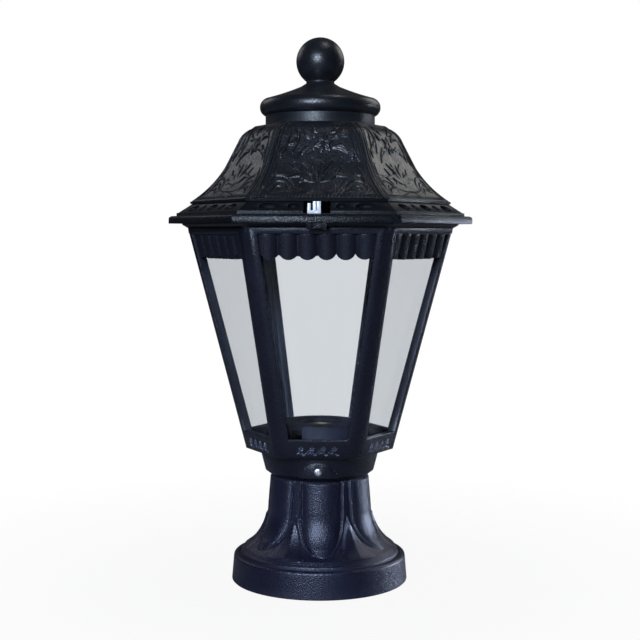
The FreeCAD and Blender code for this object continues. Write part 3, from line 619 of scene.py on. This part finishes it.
eave = {"cutAbove": 0.02, "soft": 0.45, "softAngle": 30}
ovals = {"reach": 90.8, "level": 288.2, "pitch": 17.0, "aSide": 5, "long": 6.9, "short": 3.6, "tall": 3.2,
         "low": 2.6, "deep": 4.6}


def makeOvals():
    tools = []
    for k in range(6 * ovals["aSide"]):
        slot = k % ovals["aSide"] - ovals["aSide"] // 2
        wide, tall = (ovals["long"], ovals["tall"]) if slot % 2 == 0 else (ovals["short"], ovals["low"])
        deselectAll()
        bpy.ops.mesh.primitive_uv_sphere_add(segments=28, ring_count=14, radius=mm)
        tool = bpy.context.object
        tool.scale = (wide, ovals["deep"], tall)
        tool.location = (ovals["pitch"] * slot * mm, -ovals["reach"] * mm, ovals["level"] * mm)
        freeze(tool)
        tool.rotation_euler = (0, 0, math.radians(60 * (k // ovals["aSide"])))
        freeze(tool)
        tools.append(tool)
    joinAll(tools)
    return tools[0]


def makeEave():
    piece = copiedNode("roofEave", "roof")
    smoothShade(piece)
    bpy.ops.object.mode_set(mode="EDIT")
    bpy.ops.mesh.select_all(action="SELECT")
    level = (roof["lipTop"] + eave["cutAbove"]) * mm
    bpy.ops.mesh.bisect(plane_co=(0, 0, level), plane_no=(0, 0, 1), clear_outer=True)
    bpy.ops.mesh.select_all(action="DESELECT")
    bpy.ops.mesh.select_mode(type="EDGE")
    bpy.ops.mesh.select_non_manifold(extend=False)
    bpy.ops.mesh.bridge_edge_loops()  # closes the wall's top and leaves the roof open
    bpy.ops.mesh.select_mode(type="VERT")
    bpy.ops.object.mode_set(mode="OBJECT")
    cutAway(piece, makeOvals())
    bevelEdges(piece, eave["soft"], eave["softAngle"])
    smoothShade(piece)
    settle(piece, "lid", finishes["eaveResin"], ["roof"])
    print("eave made")


makeEave()


# pedestal, turned and carved

pedestal = {
    "foot": 68.5, "footHigh": 20.7, "draft": 1.5, "footRound": 2.5, "step": 62.0, "stepHigh": 2.5, "bell": 58.0,
    "bellBase": 26.2, "waist": 38.8, "waistUp": 58.2, "neck": 37.0, "high": 82.2, "wall": 3.2, "spigot": 30.0,
    "spigotWall": 3.5, "spigotTop": 97.7, "web": 53.2, "webThick": 3.0, "cable": 6.0, "tower": 6.0, "fixing": 2.75,
    "circle": 42.0, "turn": 4.0, "tongueHalf": 14.4, "tongueTip": 28.0, "tongueTaper": 56.0, "tongueHigh": 2.6,
    "tongueTop": 81.4, "borderOut": 1.9, "borderWide": 1.0, "borderHigh": 1.5, "dartTop": 56.0, "dartHalf": 15.0,
    "dartHigh": 2.4, "steps": 540, "edge": 0.5, "footEdge": 0.6, "neckEdge": 0.4, "neckLip": 3.0,
    "grooveDeep": 0.9, "tongueBlunt": 2.6, "tongueRound": 0.7, "topFade": 0.8, "dartFlare": 1.3, "dartRidge": 0.55,
}


def pedestalProfile():
    p = pedestal
    run, fall = p["bell"] - p["waist"], p["waistUp"] - p["bellBase"]
    bend = (run * run + fall * fall) / (2 * run)
    innerBend = bend + p["wall"]
    innerFoot = p["waist"] + bend - math.sqrt(innerBend ** 2 - fall ** 2)
    stepTop, roofLow, edge = p["footHigh"] + p["stepHigh"], p["high"] - p["wall"], p["edge"]
    shoulder = (p["foot"] - p["draft"], p["footHigh"] - p["footRound"])
    rim = (shoulder[0] - p["footRound"], p["footHigh"])
    outer = chain(
        stops([(p["foot"] - p["footEdge"], 0), (p["foot"], p["footEdge"]), shoulder], (2, 8)),
        arc(shoulder, rim, -p["footRound"] * 1.05, 8),
        # a thin groove, then the low step under the bell
        stops([rim, (p["step"] + 1.0, p["footHigh"]), (p["step"] + 0.5, p["footHigh"] - p["grooveDeep"]),
               (p["step"] - 0.2, p["footHigh"] - 0.6), (p["step"] - 0.7, stepTop - 0.7), (p["step"] - 1.5, stepTop),
               (p["bell"], p["bellBase"])], (3, 2, 2, 3, 2, 6)),
        arc((p["bell"], p["bellBase"]), (p["waist"], p["waistUp"]), bend, 56),
        stops([(p["waist"], p["waistUp"]), (p["neck"], p["high"] - p["neckLip"]),
               (p["neck"], p["high"] - p["neckEdge"]), (p["neck"] - p["neckEdge"], p["high"]),
               (p["spigot"], p["high"])], (22, 3, 1, 1)))
    bore, room, webTop = p["spigot"] - p["spigotWall"], p["neck"] - p["wall"], p["web"] + p["webThick"]
    webEdge = (p["waist"] - p["wall"] + edge, p["web"] - 1)
    footRoof = (innerFoot, p["footHigh"] - p["wall"])
    inner = chain(
        [(p["spigot"], p["spigotTop"] - edge), (p["spigot"] - edge, p["spigotTop"]), (bore + edge, p["spigotTop"]),
         (bore, p["spigotTop"] - edge), (bore, roofLow), (room, roofLow - 2), (room, webTop), (p["cable"], webTop),
         (p["cable"], p["web"]), (p["waist"] - p["wall"], p["web"])],
        arc(webEdge, footRoof, -innerBend * 1.2, 14),
        [(p["foot"] - 2 * p["wall"], footRoof[1]), (p["foot"] - p["wall"] - 1, 0)])
    return chain(outer, inner)


def carvePedestal(piece):
    p = pedestal
    points = readPoints(piece) / mm
    radius = np.hypot(points[:, 0], points[:, 1])
    # the angle is zero at the front and rises to the right
    angle = np.degrees(np.arctan2(points[:, 0], -points[:, 1])) - p["turn"]
    level = points[:, 2]
    # a line inside the wall tells its outer face from the hollow
    middle = np.interp(level, [26, 33, 42, 50, 58, 79, 83], [54, 46, 40, 37.5, 36.6, 35.4, 35.4])
    outside = (radius > middle) & (level > p["bellBase"] - 0.5) & (level < p["tongueTop"] + 0.5)
    turn = (angle + 30) % 60 - 30
    arcLength = np.radians(turn) * radius
    # tongue: full width above the taper, narrowing to a blunt tip
    down = np.clip((p["tongueTaper"] - level) / (p["tongueTaper"] - p["tongueTip"]), 0, 1)
    half = p["tongueHalf"] * np.sqrt(np.clip(1 - down ** p["tongueBlunt"], 0, 1)) + 0.01
    crown = np.clip(1 - np.abs(arcLength / half) ** 2, 0, 1) ** p["tongueRound"]
    fade = np.clip((p["tongueTop"] - level) / p["topFade"], 0, 1) ** 0.5
    tongue = p["tongueHigh"] * crown * np.clip((1 - down) * 5, 0, 1) ** 0.6 * fade
    # thin border bead round the tongue's outline
    border = half + p["borderOut"] * np.sqrt(np.clip(1 - down, 0, 1))
    bead = ridge(np.abs(arcLength) - border, p["borderWide"], p["borderHigh"], 0.6)
    bead *= fade * np.clip((1 - down) * 6, 0, 1)
    # dart between the tongues, with a ridge down its middle
    dartTurn = (angle % 60) - 30
    dartArc = np.radians(dartTurn) * radius
    drop = np.clip((p["dartTop"] - level) / (p["dartTop"] - p["bellBase"]), 0, 1)
    dartHalf = p["dartHalf"] * drop ** p["dartFlare"] + 0.01
    crest = np.clip(1 - np.abs(dartArc) / dartHalf, 0, 1)
    dart = (1 - p["dartRidge"]) * np.clip(crest * 4, 0, 1) + p["dartRidge"] * crest ** 1.4
    dart *= p["dartHigh"] * np.clip(drop * 6, 0, 1)
    dart *= np.clip((level - p["bellBase"] + 0.3) / 2.0, 0, 1) ** 0.5
    rise = np.where(outside, np.maximum.reduce([tongue, bead, dart]), 0)
    grow = (radius + rise) / np.maximum(radius, 1e-6)
    points[:, 0] *= grow
    points[:, 1] *= grow
    writePoints(piece, points * mm)


def makePedestal():
    p = pedestal
    piece = spun("pedestalTurned", pedestalProfile(), p["steps"])
    carvePedestal(piece)
    towers = []
    for k in range(3):
        spin = math.radians(270 + 120 * k)
        spot = (p["circle"] / 2 * math.cos(spin) * mm, p["circle"] / 2 * math.sin(spin) * mm)
        towerTop = p["web"] + p["edge"]
        tower = spun("tower", [(p["fixing"], 0), (p["tower"] - 0.4, 0), (p["tower"], 0.4), (p["tower"], towerTop),
                               (p["fixing"], towerTop)], 40)
        tower.location = (*spot, 0)
        freeze(tower)
        towers.append(tower)
        deselectAll()
        bpy.ops.mesh.primitive_cylinder_add(vertices=40, radius=p["fixing"] * mm, depth=8 * mm,
                                            location=(*spot, (p["web"] + p["webThick"] / 2) * mm))
        cutAway(piece, bpy.context.object)
    joinAll([piece] + towers)
    smoothShade(piece, 40)
    settle(piece, "base", finishes["footResin"], ["pedestal"])
    print("pedestal made")


makePedestal()


# cap and ball, turned

finial = {
    "roofTop": 351.7, "collar": 42.0, "collarHigh": 8.0, "ring": 46.3, "ringHigh": 12.0, "dome": 42.7,
    "domeHigh": 9.5, "domeTop": 15.4, "capTop": 384.2, "wall": 2.5, "ball": 18.45, "neck": 10.8, "neckHigh": 1.4,
    "stud": 3.0, "domeBend": 220.0, "ringBend": 0.55,
}


def makeFinial():
    f = finial
    ringLow = f["roofTop"] + f["collarHigh"]
    ringHigh = ringLow + f["ringHigh"]
    domeHigh = ringHigh + f["domeHigh"]
    ballMid = f["capTop"] + f["neckHigh"] + math.sqrt(f["ball"] ** 2 - f["neck"] ** 2)
    ringMid, ringBend = (f["ring"], ringLow + f["ringHigh"] * 0.5), -f["ringHigh"] * f["ringBend"]
    capOuter = chain(
        line((f["collar"], f["roofTop"]), (f["collar"], ringLow - 0.6), 4),
        line((f["collar"] + 0.5, ringLow), (f["collar"] + 1.2, ringLow), 1),
        arc((f["collar"] + 1.2, ringLow), ringMid, ringBend, 12),
        arc(ringMid, (f["dome"], ringHigh), ringBend, 12),
        arc((f["dome"], ringHigh), (f["domeTop"], domeHigh), f["domeBend"], 14),
        stops([(f["domeTop"], domeHigh), (f["neck"] + 0.5, f["capTop"] - 0.5), (f["neck"], f["capTop"])], (4, 1)))
    capInner = [(f["stud"] + 0.2, f["capTop"]), (f["stud"] + 0.2, domeHigh - f["wall"] * 1.5),
                (f["domeTop"], domeHigh - f["wall"] * 1.5), (f["dome"] - 2 * f["wall"], ringHigh - f["wall"] * 1.2),
                (f["collar"] - f["wall"], ringLow + f["wall"]), (f["collar"] - f["wall"], f["roofTop"])]
    cap = spun("roofCapTurned", chain(capOuter, capInner), 180)
    smoothShade(cap)
    settle(cap, "lid", finishes["capResin"], ["roof_cap"])
    ballPath = chain(
        [(f["stud"], f["capTop"]), (f["neck"] - 0.3, f["capTop"]), (f["neck"], f["capTop"] + 0.3),
         (f["neck"], f["capTop"] + f["neckHigh"])],
        [(f["ball"] * math.sin(math.radians(a)), ballMid - f["ball"] * math.cos(math.radians(a)))
         for a in np.linspace(math.degrees(math.asin(f["neck"] / f["ball"])), 180, 64)],
        [(0, ballMid - 1), (f["stud"], ballMid - 1)])
    ball = spun("finialBallTurned", ballPath, 128)
    smoothShade(ball, 40)
    settle(ball, "lid", finishes["capResin"], ["finial_ball"])
    print("cap and ball made")


makeFinial()


# carved strip along each bottom rail

rail = {"low": 102.2, "flatLow": 51.49, "lean": 0.2279, "half": 17.0, "start": 1.6, "end": 11.6, "pitch": 8.3,
        "sink": 0.4, "below": 0.25, "fade": 0.5, "columns": 150, "rows": 46, "wall": 0.8}


def railStrokes():
    strokes = []
    wave = [(x, 5.0 + 1.5 * math.sin(2 * math.pi * x / rail["pitch"])) for x in np.linspace(-16, 16, 33)]
    strokes.append((wave, 0.55, 1.0))
    for k in range(4):
        mid = (k - 1.5) * rail["pitch"]
        for turn in range(5):
            spin = math.radians(90 + 72 * turn)
            tip = (mid + 2.1 * math.cos(spin), 7.4 + 2.1 * math.sin(spin))
            strokes.append(([(mid + 0.5 * math.cos(spin), 7.4 + 0.5 * math.sin(spin)), tip], 0.8, 1.3))
        strokes.append(([(mid - 3.4, 3.2), (mid - 1.8, 4.4), (mid - 0.4, 3.4)], 0.7, 1.1))
        strokes.append(([(mid + 3.4, 3.2), (mid + 1.8, 2.4), (mid + 0.6, 3.6)], 0.7, 1.1))
    return strokes


def makeRails():
    deselectAll()
    bpy.ops.mesh.primitive_grid_add(x_subdivisions=rail["columns"], y_subdivisions=rail["rows"], size=2)
    strip = bpy.context.object
    points = readPoints(strip)
    across = points[:, 0] * rail["half"]
    up = rail["start"] + (points[:, 1] + 1) / 2 * (rail["end"] - rail["start"])
    edge = np.minimum.reduce([rail["half"] - np.abs(across), up - rail["start"], rail["end"] - up])
    relief = strokeRelief(across, up, railStrokes()) * np.clip(edge / rail["fade"], 0, 1)
    relief -= rail["sink"] * np.clip(1 - edge, 0, 1) + rail["below"]  # the strip's edges sink into the rail
    tilt = math.hypot(1, rail["lean"])
    reach = rail["flatLow"] + rail["lean"] * up + relief / tilt
    points[:, 0] = across
    points[:, 1] = -reach
    points[:, 2] = rail["low"] + up - relief * rail["lean"] / tilt
    writePoints(strip, points * mm)
    thicken(strip, rail["wall"])
    smoothShade(strip, 60)
    for k, faceName in enumerate(faceNames):
        # the carving takes the lighter resin, a painted sheen over the rail
        settle(turned(strip, 60 * k, "railCarving_" + faceName), "base", finishes["paintedSheenResin"])
    bpy.data.objects.remove(strip)
    print("rail carving made")


makeRails()


# clamp screw with its cross recess, and the lamp thread

clampScrew = {"shank": 2.0, "head": 3.0, "tip": 30.0, "seat": 45.6, "top": 47.6, "level": 91.2, "cross": 3.4,
              "blade": 0.8, "sink": 1.1, "turn": 25.0}


def makeClampScrew():
    c = clampScrew
    screw = spun("clampScrewCross", [(0, c["tip"]), (c["shank"] - 0.4, c["tip"]), (c["shank"], c["tip"] + 0.5),
                                     (c["shank"], c["seat"]), (c["head"], c["seat"]), (c["head"], c["seat"] + 0.8),
                                     (c["head"] - 0.3, c["seat"] + 1.4), (c["head"] * 0.55, c["top"] - 0.1),
                                     (0, c["top"])], 48)
    for turn in (0, 90):
        deselectAll()
        bpy.ops.mesh.primitive_cube_add(size=1, location=(0, 0, c["top"] * mm))
        blade = bpy.context.object
        blade.scale = (c["cross"] * mm, c["blade"] * mm, 2 * c["sink"] * mm)
        blade.rotation_euler = (0, 0, math.radians(c["turn"] + turn))
        cutAway(screw, blade)
    screw.rotation_euler = (math.radians(90), 0, 0)
    screw.location = (0, 0, c["level"] * mm)
    freeze(screw)
    smoothShade(screw)
    settle(screw, "base", finishes["steel"], ["clamp_screw"])
    print("clamp screw made")


makeClampScrew()

lampThread = {"inner": 13.65, "outer": 14.2, "low": 98.2, "high": 120.2, "pitch": 3.62, "depth": 0.7, "rows": 66}


def makeLampThread():
    t = lampThread
    inLow, outLow = (t["inner"], t["low"]), (t["outer"], t["low"])
    inHigh, outHigh = (t["inner"], t["high"]), (t["outer"], t["high"])
    wall = stops([inLow, outLow, outHigh, inHigh, inLow], (1, t["rows"], 1, t["rows"]))[:-1]
    shell = spun("contactShellThread", wall, 96)
    points = readPoints(shell) / mm
    radius = np.hypot(points[:, 0], points[:, 1])
    phase = points[:, 2] / t["pitch"] - np.arctan2(points[:, 1], points[:, 0]) / (2 * np.pi)
    ends = np.clip(np.minimum(points[:, 2] - t["low"], t["high"] - points[:, 2]) / 2, 0, 1)
    pressed = t["depth"] * (0.5 - 0.5 * np.cos(2 * np.pi * phase)) * ends
    points[:, :2] *= ((radius - pressed) / radius)[:, None]
    writePoints(shell, points * mm)
    smoothShade(shell, 50)
    # the thread's brass is darkened, a painted shade inside the lamp mouth
    settle(shell, "base", finishes["brass"], ["contact_shell"])
    print("lamp thread made")


makeLampThread()


# pieces kept from the CAD, with softened edges

softAngle = 35
softPieces = {
    "cageFrame": {"node": "cage", "body": "base", "slot": "black_resin", "finish": "blackResin", "soft": 0.5},
    "valanceAprons": {"node": "valance", "body": "base", "slot": "black_resin", "finish": "blackResin",
                      "soft": 0.3},
    "cupCollar": {"node": "cup", "body": "base", "slot": "black_resin", "finish": "blackResin", "soft": 0.4},
    "turretDrum": {"node": "turret", "body": "base", "slot": "black_resin", "finish": "drumResin", "soft": 0.5},
    "latchClipSoft": {"node": "latch_clip", "body": "lid", "slot": "clip_plastic", "finish": "clipPlastic",
                      "soft": 0.15},
    "lampholderSoft": {"node": "lampholder", "body": "base", "slot": "black_plastic", "finish": "blackPlastic",
                       "soft": 0.3},
}
for pieceName, look in softPieces.items():
    softPiece = copiedNode(pieceName, look["node"])
    bevelEdges(softPiece, look["soft"], softAngle, "MITER_ARC")
    smoothShade(softPiece)
    settle(softPiece, look["body"], finishes[look["finish"]], [look["node"]])
print("soft edged pieces made")

# the CAD pieces that show as they are

slotFinish = {
    "black_resin": "blackResin", "black_plastic": "blackPlastic", "pale_plastic": "palePlastic",
    "clip_plastic": "clipPlastic", "clear_pane": "clearPane", "rubber": "rubber", "steel": "steel",
    "brass": "brass", "live_cover": "liveCover", "neutral_cover": "neutralCover",
}
for part in frame["record"]["subparts"]:
    shape = frame["nodes"][part["node"]].data
    shape.materials.clear()
    shape.materials.append(finishes[slotFinish[part["material_slot"]]])


# floor, light and background

studio = {"floor": (0.22, 0.22, 0.23), "frontWorld": 0.0036, "backWorld": 0.052, "shade": 0.93, "near": 0.12,
          "far": 0.45, "floorSize": 60, "floorDrop": 0.0005, "floorRough": 0.8, "dim": -0.2, "bright": 0.8}


def directRay(tree, most):
    # one where the camera sees straight out, also through the panes, and zero for light on its way round
    rays = tree.nodes.new("ShaderNodeLightPath")
    bounces = mathNode(tree, "SUBTRACT")
    link(tree, rays, "Ray Depth", bounces, 0)
    link(tree, rays, "Transmission Depth", bounces, 1)
    straight = mathNode(tree, "LESS_THAN", most)
    link(tree, bounces, 0, straight, 0)
    return straight


def makeFloor():
    deselectAll()
    bpy.ops.mesh.primitive_plane_add(size=studio["floorSize"], location=(0, 0, -studio["floorDrop"]))
    floor = bpy.context.object
    floor.name = "studioFloor"
    material = bpy.data.materials.new("studioFloor")
    material.use_nodes = True
    tree = material.node_tree
    shader = tree.nodes["Principled BSDF"]
    shader.inputs["Base Color"].default_value = (*studio["floor"], 1)
    shader.inputs["Roughness"].default_value = studio["floorRough"]
    glow = tree.nodes.new("ShaderNodeEmission")
    glow.inputs["Color"].default_value = (1, 1, 1, 1)
    coords = tree.nodes.new("ShaderNodeTexCoord")  # white far off, with the shadow kept close to the foot
    away = tree.nodes.new("ShaderNodeVectorMath")
    away.operation = "LENGTH"
    link(tree, coords, "Object", away, 0)
    fade = rangeNode(tree, studio["near"], studio["far"], studio["shade"])
    link(tree, away, "Value", fade, "Value")
    share = mathNode(tree, "MULTIPLY")
    link(tree, directRay(tree, 0.5), 0, share, 0)
    link(tree, fade, "Result", share, 1)
    mix = tree.nodes.new("ShaderNodeMixShader")
    link(tree, share, 0, mix, 0)
    link(tree, shader, 0, mix, 1)
    link(tree, glow, 0, mix, 2)
    link(tree, mix, 0, tree.nodes["Material Output"], "Surface")
    floor.data.materials.append(material)


def makeWorld():
    world = bpy.data.worlds.new("studioWorld")
    bpy.context.scene.world = world
    world.use_nodes = True
    tree = world.node_tree
    back = tree.nodes["Background"]
    way = tree.nodes.new("ShaderNodeTexCoord")  # the studio is dark in front and bright behind the lantern
    split = tree.nodes.new("ShaderNodeSeparateXYZ")
    link(tree, way, "Generated", split, "Vector")
    depth = rangeNode(tree, studio["dim"], studio["bright"], studio["frontWorld"], studio["backWorld"])
    link(tree, split, "Y", depth, "Value")
    level = mathNode(tree, "MAXIMUM")
    link(tree, depth, "Result", level, 0)
    link(tree, directRay(tree, 1.5), 0, level, 1)  # the background counts one bounce more than the floor
    link(tree, level, 0, back, "Strength")
    back.inputs["Color"].default_value = (1, 1, 1, 1)


lamps = {
    "keyLeft": {"place": (-0.3, -1.25, 0.66), "aim": (0, 0, 0.12), "size": 0.28, "power": 24,
                "tint": (0.66, 0.79, 1.0)},
    "footRight": {"place": (1.0, 0.52, 0.17), "aim": (0, 0, 0.05), "size": 0.5, "power": 150,
                  "tint": (0.7, 0.8, 1.0), "cone": 15, "blend": 0.6},
    "rimRight": {"place": (0.9, 0.8, 0.95), "aim": (0, 0, 0.3), "size": 0.6, "power": 3, "tint": (1, 0.99, 0.96)},
    "rimLeft": {"place": (-0.95, 0.8, 0.95), "aim": (0, 0, 0.3), "size": 0.5, "power": 1.3,
                "tint": (0.95, 0.97, 1.0)},
    "topSmall": {"place": (0.3, -0.05, 1.4), "aim": (0, 0, 0.25), "size": 0.14, "power": 1.6,
                 "tint": (0.97, 0.98, 1.0)},
}


def makeLamps():
    for name, lamp in lamps.items():
        data = bpy.data.lights.new(name, "SPOT" if "cone" in lamp else "AREA")
        if "cone" in lamp:
            data.spot_size = math.radians(lamp["cone"])
            data.spot_blend = lamp["blend"]
            data.shadow_soft_size = lamp["size"] / 2
        else:
            data.size = lamp["size"]
        data.energy = lamp["power"]
        data.color = lamp["tint"]
        light = bpy.data.objects.new(name, data)
        bpy.context.scene.collection.objects.link(light)
        light.location = lamp["place"]
        light.visible_camera = False
        light.visible_transmission = False
        way = Vector(lamp["aim"]) - Vector(lamp["place"])
        light.rotation_euler = way.to_track_quat("-Z", "Y").to_euler()


makeFloor()
makeWorld()
makeLamps()
bpy.context.scene.view_settings.view_transform = "Standard"
print("studio made")

deselectAll()
bpy.context.view_layer.update()
